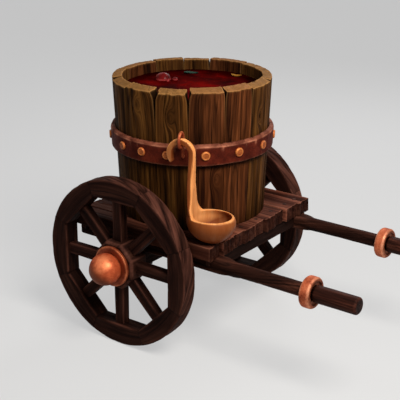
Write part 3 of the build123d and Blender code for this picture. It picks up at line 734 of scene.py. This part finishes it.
def leaf(name, material, place, length, width, turn, curl):
    """A floating leaf or peel: a thin closed sheet with a midrib and a wavy edge, straight or curled."""
    us, vs = np.meshgrid(np.linspace(0, 1, 28), np.linspace(-1, 1, 13), indexing="ij")
    half = width * np.sin(pi * us ** 0.8) ** 0.8 * (1 + 0.12 * np.sin(us * 34) * np.abs(vs))
    bend = curl * (us - 0.5)
    along = np.sin(bend) / curl * length if curl else (us - 0.5) * length
    sag = (1 - np.cos(bend)) / curl * length if curl else 0.0
    z = 0.003 + 0.002 * np.abs(vs) + 0.001 * np.sin(us * 5 + 1)
    sheet = columns(along, vs * half + sag, z).reshape(-1, 3)
    points = np.concatenate([sheet, sheet - (0, 0, 0.0022)])
    count = len(sheet)
    index = np.arange(count).reshape(us.shape)
    flat = grid_quads(index)
    ring = np.concatenate([index[:, 0], index[-1, 1:], index[-2::-1, -1], index[0, -2:0:-1]])
    after = np.roll(ring, -1)
    quads = np.concatenate([flat, flat[:, ::-1] + count, columns(ring, ring + count, after + count, after)])
    points = points @ [[cos(turn), sin(turn), 0], [-sin(turn), cos(turn), 0], [0, 0, 1]] + place
    piece(name, "cart", "vegetables", material, points, quads, points, look_of(np.zeros(len(points))))


# The rim colour is the painted highlight round the lumps at the stew's surface.
radish = cooked("radish", (58, 3, 3), (100, 12, 12), scale=40, gloss=0.3, shine=0.08, rim=(172, 66, 64))
greens = cooked("greens", (14, 36, 30), (30, 62, 50), scale=60)
peel = cooked("peel", (96, 58, 16), (162, 112, 40), scale=60)
stew()
lumps(radish)
leaf("greens_leaf", greens, (-0.3473, 0.1392, stew_level), length=0.052, width=0.014, turn=0.64, curl=0.0)
leaf("peel_curl", peel, (-0.1891, 0.1988, stew_level), length=0.05, width=0.011, turn=0.5, curl=2.4)


# Wheels

def felloes(wheel, sign):
    """Eight felloes: round tread, straight inside, split and worn along the grain."""
    parts = []
    half_turn = spoke_turn / 2
    depth = wheel_radius - felloe_apothem
    for k in range(spokes):
        half = np.array([depth / 2, wheel_width / 2, wheel_radius * spoke_turn / 2 + 0.005])
        points, normal, edge, quads = block(half, bevel=0.0042, counts=(12, 22, 60))
        grain = points + (k * 0.61 + sign, k * 0.43, k * 0.77)
        tread = step(normal[:, 0], 0.2, 0.5)
        grain[:, 1] += 0.31 * sign * tread * points[:, 2]
        tread_groove = tread * ridge(grain, (78, 78, 3), seed=9, sharp=7)
        groove = most(ridge(grain, (44, 44, 2.4), seed=5, sharp=10), tread_groove)
        wear_and_painted_light = smooth(0.5 + 0.8 * rough(grain, (84, 84, 3), seed=8, octaves=2))
        up, out, along = worn_in(points, normal, grain, groove, (62, 62, 5), 3, wave=0.0009,
                                 cut=0.0011 + 0.0011 * tread, shaving=0.0009).T
        angle = np.clip(along / wheel_radius, -half_turn, half_turn)
        inner = felloe_apothem / np.cos(np.clip(np.abs(angle), 0, half_turn))
        share = np.clip((up + half[0]) / depth, 0, 1)
        radius = np.minimum(inner + share * (wheel_radius - inner), wheel_radius - 0.0004)
        way = angle + k * spoke_turn
        world = columns(axle_x + radius * np.cos(way), sign * wheel_middle + out,
                        axle_z + radius * np.sin(way))
        joint = smooth((np.abs(angle) - half_turn + 0.006) / 0.005)
        # Painted shade on the inner side of each felloe, by the spoke ends; dirt in the grooves and dark
        # joints.
        dirt_and_shade = most(0.35 * smooth(1 - share * 4), (0.4 + 0.4 * tread) * groove, 0.6 * joint)
        corners = 0.8 * edge * smooth((half_turn - 0.012 - np.abs(angle)) / 0.02)
        edge = most(corners, tread * (0.25 + 0.85 * wear_and_painted_light) * (1 - groove))
        tone = 0.5 + 0.12 * sin(k * 2.1 + sign) + 0.3 * tread
        parts.append((world, quads, grain, look_of(edge, dirt_and_shade, tone)))
    dressed(wheel + "_felloes", "worn", wheel, "cart_wood", wheel_wood, *joined(parts))


def spokes_of(wheel, sign):
    """Tapered spokes with bevelled corners."""
    parts = []
    sunk, taper = 0.006, 0.09
    low, high = nave_apothem - sunk, felloe_apothem + sunk
    for k in range(spokes):
        half = np.array([0.0213, 0.017, (high - low) / 2])
        points, normal, edge, quads = block(half, bevel=0.0045, counts=(9, 7, 30))
        grain = points + (k * 0.57 + 3 * sign, k * 0.31, k * 0.83)
        groove = ridge(grain, (56, 56, 3), seed=5, sharp=10)
        across, out, along = worn_in(points, normal, grain, groove, (70, 70, 7), 3, wave=0.0008, cut=0.0016,
                                     shaving=0.0005).T
        share = (along + half[2]) / (high - low)
        across = across * (1 - taper * share)
        along = low + share * (high - low)
        angle = k * spoke_turn
        world = columns(axle_x + along * cos(angle) - across * sin(angle), sign * wheel_middle + out,
                        axle_z + along * sin(angle) + across * cos(angle))
        # Painted shade at both ends of each spoke, by the nave and the felloe; dirt in the grooves.
        dirt_and_shade = most(0.5 * (smooth(1 - share * 6) + smooth((share - 0.86) * 7)), 0.8 * groove)
        parts.append((world, quads, grain, look_of(0.6 * edge, dirt_and_shade, tone=0.4 + 0.15 * sin(k * 1.7))))
    dressed(wheel + "_spokes", "worn", wheel, "cart_wood", wheel_wood, *joined(parts))


def about_axle(points, sign):
    """A shape about Z moved onto the axle, its Z pointing out of the wheel on that side."""
    x, y, z = points.T
    return columns(axle_x + x, sign * z, axle_z + y)


def nave(wheel, sign):
    """The eight-sided nave."""
    bore, half_turn = 0.0242, spoke_turn / 2
    outline = rounded([(bore, nave_inner), (nave_apothem, nave_inner), (nave_apothem, nave_outer - 0.006),
                       (nave_apothem - 0.007, nave_outer), (bore, nave_outer)], bevel=0.004, pitch=0.007)
    points, quads = turned(outline, 96)
    x, y, z = points.T
    fold = (np.arctan2(y, x) + half_turn) % spoke_turn - half_turn
    size = np.hypot(x, y)
    grown = size / np.cos(fold)
    share = step(size, 0.03, 0.04)
    grain = points + sign
    factor = (size + share * (grown - size)) / size
    factor -= share * (0.008 + 0.014 * rough(grain, (40, 40, 10), seed=4))
    corner = step(np.abs(fold) / half_turn, 0.8, 0.2) * step(size, 0.078, 0.003)
    rim = step(size, 0.072, 0.004) * smooth((z - nave_outer + 0.012) / 0.004)
    points = about_axle(widened(points, factor), sign)
    dressed(wheel + "_nave", "worn", wheel, "cart_wood", wheel_wood, points, quads, grain,
            look_of(0.7 * most(corner, rim), tone=0.55))


def nave_ring(wheel, sign):
    """The copper ring on the nave's face."""
    count, inner, outer, rear = 120, 0.0445, 0.072, nave_outer - 0.0005
    corners = [(inner, rear), (outer, rear), (outer, hub_face), (inner, hub_face)]
    outline = rounded(corners, bevel=0.0045, pitch=0.003)
    points, quads = turned(outline, count)
    size, height = np.tile(outline, (count, 1)).T
    edge = 0.5 * (step(size, 0.064, 0.006) * smooth((height - hub_face + 0.006) / 0.004))
    dirt_and_shade = most(0.8 * step(size, 0.057, -0.008), 0.78)
    dressed(wheel + "_nave_ring", "beaten", wheel, "copper", hub_copper, about_axle(points, sign), quads,
            points, look_of(edge, dirt_and_shade))


# Directions in the cap's own frame of its painted shade and of its painted highlight.
painted_shade_way, painted_highlight_way = (-0.337, -0.732, 0.592), (0.32, 0.732, 0.593)


def hub_cap(wheel, sign):
    """The beaten copper cap: a painted highlight above, painted shade below and round its foot."""
    centre, hollow = hub_face + cap_centre_height, 0.91
    start = -np.arcsin(cap_centre_height / cap_radius)
    arc = [(cap_radius * cos(t), centre + cap_radius * sin(t)) for t in np.linspace(start, 0.495 * pi, 44)]
    inner = [(hollow * r, centre + hollow * (h - centre)) for r, h in arc[::-1]]
    points, quads = turned(arc + inner[:-1] + [(hollow * arc[0][0], hub_face)], 120)
    spot = points + sign * 3
    out = points - (0, 0, centre)
    out /= np.linalg.norm(out, axis=1, keepdims=True)
    beaten = 0.0009 * (rough(spot, (42, 42, 42), seed=4) - 1) * step(points[:, 2], hub_face, 0.004)
    points = points + out * beaten[:, None]
    # Painted shade on the lower side and round the foot, a painted highlight on the upper side, and random
    # rubbed patches.
    painted_shade_side = out @ np.array(painted_shade_way) + 0.12 * rough(spot, (22, 22, 22), seed=5)
    foot = 0.7 * smooth(1 - (points[:, 2] - hub_face) / 0.012)
    dirt_and_shade = most(foot, 0.95 * step(painted_shade_side, -0.06, 0.76))
    painted_highlight = step(out @ np.array(painted_highlight_way), 0.66, 0.34)
    edge = most(0.4 * np.clip(rough(spot, (18, 18, 18), seed=7), 0, 1), painted_highlight)
    dressed(wheel + "_hub_cap", "beaten", wheel, "copper", hub_copper, about_axle(points, sign), quads, spot,
            look_of(edge, dirt_and_shade))


for side, sign in sides:
    for make in (felloes, spokes_of, nave, nave_ring, hub_cap):
        make(f"{side}_wheel", sign)


# Deck

# By plank: tone, the near plank's low tone being painted shadow, and painted shadow on the two near planks.
plank_tones, plank_shadows = (0.15, 0.6, 0.45, 0.5), (0.5, 0.1, 0.0, 0.0)


def split_line(y, low, high, steps):
    """How far a plank's split end stands out at each y."""
    width = (high - low) / len(steps)
    place = np.clip((y - low) / width, 0, len(steps) - 1e-6)
    index = place.astype(int)
    return (np.array(steps)[index] - split_slant * (place - index)) / 1000


def plank(index):
    """A rough plank with a grooved top and split, stepped ends, with painted shade underneath and painted
    shadow to the rear, by the tub and on the near planks.
    """
    low = plank_bounds[index] + (plank_gap / 2 if index else 0)
    high = plank_bounds[index + 1] - (plank_gap / 2 if index < len(split_steps) - 1 else 0)
    steps = split_steps[index]
    reach, hair = 0.008, 0.0003
    half = np.array([(high - low) / 2, plank_half, (deck_front - deck_rear) / 2 - reach])
    points, normal, edge, quads = block(half, bevel=0.0025, counts=(int((high - low) / 0.0028), 9, 120))
    grain = points + (index * 0.91, 0.2, index * 0.67)
    groove = ridge(grain, (34, 34, 1.2), seed=5, sharp=11)
    across, up, along = worn_in(points, normal, grain, groove, (48, 48, 3), 3, wave=0.0009, cut=0.0024,
                                shaving=0.0008).T
    y = (low + high) / 2 - across
    far = along / half[2]
    splits = ridge(grain * (1, 0.12, 0), (120, 60, 1), seed=7, sharp=6)
    jag = 0.0016 * rough(grain * (1, 0.4, 0), (90, 50, 1), seed=7) - 0.005 * splits
    front = split_line(y, low, high, steps) + jag
    rear = split_line(y, low, high, steps[::-1]) + jag
    ends = step(np.abs(far), 0.94, 0.06) * np.where(far > 0, front, -rear)
    x = np.clip((deck_front + deck_rear) / 2 + along + ends, deck_rear + hair, deck_front - hair)
    world = columns(x, y, deck_bottom + plank_half + up)
    # Dark cut ends and dirt in the grooves; painted shade underneath and painted shadow to the rear, by the
    # tub and on the near planks, where worn edges are left out too.
    cut = step(np.abs(normal[:, 2]), 0.6, 0.3)
    underside_shade = 0.6 * smooth(-normal[:, 1])
    rear_shadow = 0.85 * step(x, -0.2, -0.2)
    tub_shadow = 0.5 * step(np.hypot(x - tub_x, y), 0.345, -0.06)
    dirt_and_shade = most(cut * (0.86 + 0.14 * splits), underside_shade, 0.8 * groove, rear_shadow, tub_shadow, plank_shadows[index])
    edge = edge * (1 - cut) * (1 - rear_shadow)
    dressed(f"deck_plank_{index + 1}", "split", "cart", "deck_wood", deck_wood, world, quads, grain,
            look_of(edge, dirt_and_shade, plank_tones[index]))


for index in range(len(split_steps)):
    plank(index)


# Shafts

def shaft(side, sign):
    """A shaft, squared under the deck and rounded in front, with grain that winds round it."""
    count, steps = 48, 150
    end_places, end_rounding = np.array([0, 0.001, 0.004]), (0.003, 0.0012, 0.0003)
    xs = np.concatenate([shaft_rear + end_places, np.linspace(shaft_rear + 0.01, shaft_front, steps)])
    taper = step(xs, shaft_square_end, shaft_round_start - shaft_square_end)[:, None]
    size = shaft_half - 0.001 * taper - np.pad(end_rounding, (0, steps))[:, None]
    angle = ring_angles(count) + pi / count
    across, up = np.cos(angle), np.sin(angle)
    power = 9 - 7 * taper
    reach = size / (np.abs(across) ** power + np.abs(up) ** power) ** (1 / power)
    x = np.repeat(xs[:, None], count, 1)
    beyond = np.clip(x - shaft_square_end, 0, 1)
    grain = columns(angle * 0.024 + 0.16 * beyond + sign, reach + 0.3, x).reshape(-1, 3)
    twist = 6.6 * beyond
    wound = columns(across * np.cos(twist) + up * np.sin(twist),
                    up * np.cos(twist) - across * np.sin(twist), x).reshape(-1, 3)
    groove = ridge(wound, (2.4, 2.4, 2.0), seed=6, sharp=11)
    carve = (0.0008 * rough(wound, (3, 3, 5), seed=4) - 0.0016 * groove - 0.0007).reshape(x.shape)
    in_collar = step(x, 0.38, 0.03)
    radius = reach + (carve * (1 - in_collar) - 0.0002 * in_collar)
    middle_y = sign * shaft_y
    points = columns(x, middle_y + radius * across, shaft_z + radius * up).reshape(-1, 3)
    index = np.arange(len(points)).reshape(x.shape)
    rear, front = index[0], index[-1]
    quads = np.concatenate([
        grid_quads(np.pad(index, ((0, 0), (0, 1)), mode="wrap")), fan(rear, np.roll(rear, -1), len(points)),
        fan(np.roll(front, -1), front, len(points) + 1)])
    points = np.concatenate([points, [[xs[0], middle_y, shaft_z], [xs[-1], middle_y, shaft_z]]])
    corner = np.clip((reach / size - 1.05) / 0.2, 0, 1) * (1 - taper)
    grain = np.concatenate([grain, [[0, 0, 0], [1, 0, 0]]])
    edge = np.concatenate([corner.reshape(-1), [0, 0]])
    dirt_and_shade = np.concatenate([0.85 * groove, [0.8, 0.8]])
    look = look_of(edge, dirt_and_shade, tone=0.6)
    dressed(f"{side}_shaft", "worn", "cart", "cart_wood", cart_wood, points, quads, grain, look)


def about_shaft(points, sign, start):
    """A shape about Z laid along a shaft."""
    x, y, z = points.T
    return columns(start + z, sign * shaft_y - y * sign, shaft_z + x)


def collar(side, sign):
    """A copper collar with worn edges and a sunk front face."""
    count, bore, edge_in, edge_back, sunk = 96, 0.0242, collar_radius - 0.005, 0.006, collar_width - 0.006
    corners = [(bore, 0), (edge_in, 0), (collar_radius, edge_back), (collar_radius, sunk),
               (edge_in, collar_width), (0.0388, collar_width), (0.0378, sunk), (bore, sunk)]
    outline = rounded(corners, bevel=0.0035, pitch=0.003)
    points, quads = turned(outline, count)
    spot = points + (sign, 0, 0)
    size, height = np.tile(outline, (count, 1)).T
    worn = 1 - 0.018 * np.abs(rough(spot, (46, 46, 30), seed=3)) * step(size, 0.034, 0.012)
    points = about_shaft(widened(points, worn), sign, collar_front - collar_width)
    band = step(size, 0.045, 0.003)
    edge = band * most(step(height, 0.026, 0.005), step(height, 0.009, -0.005))
    face = smooth((height - collar_width + 0.0045) / 0.003) * step(size, 0.05, -0.002)
    dirt_and_shade = most(0.78 * step(size, 0.041, -0.003), 0.66 * face)
    dressed(f"{side}_collar", "beaten", "cart", "copper", copper, points, quads, spot, look_of(edge, dirt_and_shade))


def grip(side, sign):
    """A turned grip, polished by hands, with a dark end."""
    length, neck, shoulder = grip_end - shaft_front, 0.0238, 0.0284
    outline = [(neck, 0.0), (neck, 0.0078), (0.0262, 0.0082), (shoulder, 0.0096)]
    outline += [(grip_radius - 0.0002, h) for h in np.linspace(0.012, length - 0.009, 46)]
    outline += [(shoulder, length - 0.0055), (0.0268, length - 0.0026), (0.0244, length - 0.0006),
                (0.0225, length)]
    outline += [(r, length - 0.0002) for r in (0.018, 0.012, 0.006)]
    points, quads = capped(outline, 48)
    spot = points + (2 * sign, 0, 0)
    size = np.hypot(points[:, 0], points[:, 1])
    groove = ridge(spot, (60, 60, 5), seed=5, sharp=9)
    carve = 0.0007 * rough(spot, (60, 60, 8), seed=3) - 0.0013 * groove - 0.0004
    points = widened(points, 1 + carve * step(size, 0.02, 0.006) / grip_radius)
    z = np.minimum(points[:, 2], length - 0.0002)
    points[:, 2] = z
    grain = columns(np.arctan2(points[:, 1], points[:, 0]) * grip_radius + sign, size + 0.2, z)
    ending = smooth((z - length + 0.003) / 0.002)
    edge = smooth(1 - np.abs(z - length + 0.004) / 0.005)
    dirt_and_shade = most(0.72 * ending * step(size, 0.024, -0.004), smooth(1 - z / 0.014))
    dressed(f"{side}_grip", "worn", "cart", "grip_wood", grip_wood, about_shaft(points, sign, shaft_front),
            quads, grain, look_of(edge, dirt_and_shade))


for side, sign in sides:
    for make in (shaft, collar, grip):
        make(side, sign)


# Ladle and its eye

def carved(cad, voxel, rounds):
    """A copy of a CAD node with its edges carved round: points, normals and quads."""
    mesh = bpy.data.meshes.new(cad + "_copy")
    shape = bmesh.new()
    shape.from_mesh(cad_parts[cad].data)
    bmesh.ops.remove_doubles(shape, verts=shape.verts, dist=1e-5)
    shape.to_mesh(mesh)
    shape.free()
    source = added(cad + "_source", mesh)
    remesh = source.modifiers.new("remesh", "REMESH")
    remesh.mode = "VOXEL"
    remesh.voxel_size = voxel
    relax = source.modifiers.new("relax", "SMOOTH")
    relax.factor = 0.5
    relax.iterations = rounds
    ready = source.evaluated_get(bpy.context.evaluated_depsgraph_get()).to_mesh()
    points = np.array([v.co for v in ready.vertices], float)
    normal = np.array([v.normal for v in ready.vertices], float)
    quads = np.array([(list(p.vertices) + [p.vertices[2]])[:4] for p in ready.polygons])
    bpy.data.objects.remove(source)
    return points, normal, quads


def ladle():
    """The carved ladle: pale as painted light on its lit side and in the hollow of its bowl, dark as painted
    shade on its back and outside and near the deck, with painted shade and a stew stain low in the bowl.
    """
    points, normal, quads = carved("ladle", voxel=0.002, rounds=9)
    bowl_middle, bowl_top, crook_foot, slice_height = 0.112, 0.512, 0.66, 0.004
    turn = radians(ladle_way)
    way = np.array([[cos(turn), sin(turn)], [-sin(turn), cos(turn)]])
    u, v = way @ (points[:, :2] - ladle_eye_place).T
    nu, nv = way @ normal[:, :2].T
    grain = columns(u, v, points[:, 2])
    points = worn_in(points, normal, grain, 0.0, (70, 70, 14), 3, wave=0.0004)
    z = most(points[:, 2], deck_top + 0.0008)
    points[:, 2] = z
    inward = -(nu * (u - bowl_middle) + nv * v) / most(np.hypot(u - bowl_middle, v), 0.01)
    hollow = step(inward, -0.1, 0.4)

    stem = (u > -0.004) | (z < crook_foot)
    level = ((z - z.min()) / slice_height).astype(int)
    back, front = np.full(level.max() + 1, 1.0), np.full(level.max() + 1, -1.0)
    np.minimum.at(back, level[stem], u[stem])
    np.maximum.at(front, level[stem], u[stem])
    across = (u - back[level]) / (front[level] - back[level])
    # Painted light: the lit side of the handle, the crook, the bowl's hollow and the up faces; the rest in
    # painted shade.
    shaded = 0.56 + 0.14 * step(z, 0.64, -0.1)
    crook = np.where(stem, step(nu, -0.05, 0.4), 0.6 * step(nu, 0.3, -0.6))
    handle = most(crook, step(across, shaded, 0.16) * step(z, 0.71, -0.06))

    lit = hollow + (handle - hollow) * step(z, bowl_top, 0.03)
    lit = most(lit, step(normal[:, 2], 0.4, 0.3))
    # Painted shade with a stew stain low in the bowl and towards its outer side, and painted shade near the
    # deck.
    outward = step(u, 0.05, 0.1)
    inside = hollow * step(z, 0.51, -0.012)
    stain_and_shade = inside * np.clip(0.08 + outward + 0.7 * step(z, 0.492, -0.03), 0, 1)
    wear_and_painted_light = 0.98 + 0.06 * rough(grain, (24, 24, 12), seed=9) - 0.08 * outward
    foot = 0.3 * smooth(1 - (z - deck_top) / 0.03)
    # The unlit side in painted shade; the worn colour on the lit side is a painted highlight.
    dirt_and_shade = np.clip(most(wear_and_painted_light * (1 - lit), stain_and_shade) + foot, 0, 1)
    edge = np.clip(rough(grain, (30, 30, 8), seed=6) * 0.6 + 0.2, 0, 1) * lit
    dressed("ladle", "carved", "ladle", "ladle_wood", ladle_wood, points, quads, grain, look_of(edge, dirt_and_shade))


def ladle_eye():
    """The copper eye, with a painted highlight where it faces up."""
    points, normal, quads = carved("ladle_eye", voxel=0.0012, rounds=3)
    # A painted highlight on the faces that look up; the whole eye darkened as tarnish.
    look = look_of(smooth(normal[:, 2] * 1.2), dirt_and_shade=0.55)
    dressed("ladle_eye", "bent", "cart", "copper", hub_copper, points, quads, points, look)


ladle()
ladle_eye()


# CAD nodes that keep their shape

kept_shapes = (
    (shaded_cart_wood_y, ("axle_beam", "rear_rail", "middle_rail", "front_rail")),
    (iron, ("axle", "axle_straps", "axle_washers", "beam_bolts", "linchpins", "left_wheel_bush",
            "right_wheel_bush")),
    (peg_wood, ("deck_pegs", "tub_dowels", "left_wheel_felloe_dowels", "right_wheel_felloe_dowels")),
    (floor_wood, ("tub_bottom",)))
for material, names in kept_shapes:
    for name in names:
        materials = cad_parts[name].data.materials
        materials.clear()
        materials.append(material)


# Floor, light and camera

def seen_ray(tree):
    """1 for rays from the camera, straight or by way of a mirror or glass, and 0 for light on the cart."""
    path = tree.nodes.new("ShaderNodeLightPath")
    mirrored = maths("MAXIMUM", path.outputs["Is Glossy Ray"], path.outputs["Is Transmission Ray"])
    return maths("MAXIMUM", path.outputs["Is Camera Ray"], mirrored)


def pale_to_camera(tree, surface, colour, share):
    """A surface that looks paler than it is, and throws no more light on the cart."""
    glow = node("Emission", {0: colour, 1: 1.0}, tree=tree)
    return node("MixShader", {0: times(seen_ray(tree), share), 1: surface, 2: glow})


def stage_floor():
    far = 60
    mesh = bpy.data.meshes.new("floor")
    mesh.from_pydata([(-far, -far, 0), (far, -far, 0), (far, far, 0), (-far, far, 0)], [], [(0, 1, 2, 3)])
    material, tree, shader = new_material("floor")
    wire(shader, {"Base Color": (0.5, 0.5, 0.5, 1), "Roughness": 0.9})
    shown = pale_to_camera(tree, shader.outputs[0], (1, 1, 1, 1), share=0.5)
    wire(tree.nodes["Material Output"], {0: shown})
    mesh.materials.append(material)
    floor = added("floor", mesh)


def aimed(name, data, place, target):
    """A lamp or camera that looks from a place to a target."""
    obj = added(name, data)
    obj.location = place
    obj.rotation_euler = (Vector(target) - Vector(place)).to_track_quat("-Z", "Y").to_euler()
    return obj


def lamp(name, place, target, size, power, colour=(1, 1, 1)):
    data = bpy.data.lights.new(name, "AREA")
    data.shape = "DISK"
    data.size = size
    data.energy = power
    data.color = colour
    aimed(name, data, place, target)


stage_floor()
lamp("key", (1.5, -0.9, 2.6), (-0.2, 0, 0.5), size=1.3, power=92, colour=(1.0, 0.96, 0.9))
lamp("fill", (-2.4, -2.4, 1.5), (-0.2, 0, 0.4), size=2.4, power=5, colour=(0.92, 0.96, 1.0))
lamp("back", (-0.8, 2.8, 2.4), (-0.2, 0, 0.5), size=1.8, power=30)

world = bpy.data.worlds.new("studio")
bpy.context.scene.world = world
world.use_nodes = True
tree = world.node_tree
soft = node("Background", {0: (0.95, 0.96, 1.0, 1), 1: 0.12}, tree=tree)
pale = node("Background", {0: (0.62, 0.62, 0.62, 1), 1: 1.0}, tree=tree)
wire(tree.nodes["World Output"], {0: node("MixShader", {0: seen_ray(tree), 1: soft, 2: pale})})

view = bpy.data.cameras.new("camera")
view.lens = 91.0
view.sensor_width = 36.0
turn, lift, away = radians(36.81), radians(20.3), 3.6423
target = Vector((-0.2022, 0, 0.4422))
place = target + away * Vector((sin(turn) * cos(lift), -cos(turn) * cos(lift), sin(lift)))
bpy.context.scene.camera = aimed("camera", view, place, target)
bpy.context.scene.view_settings.view_transform = "Standard"
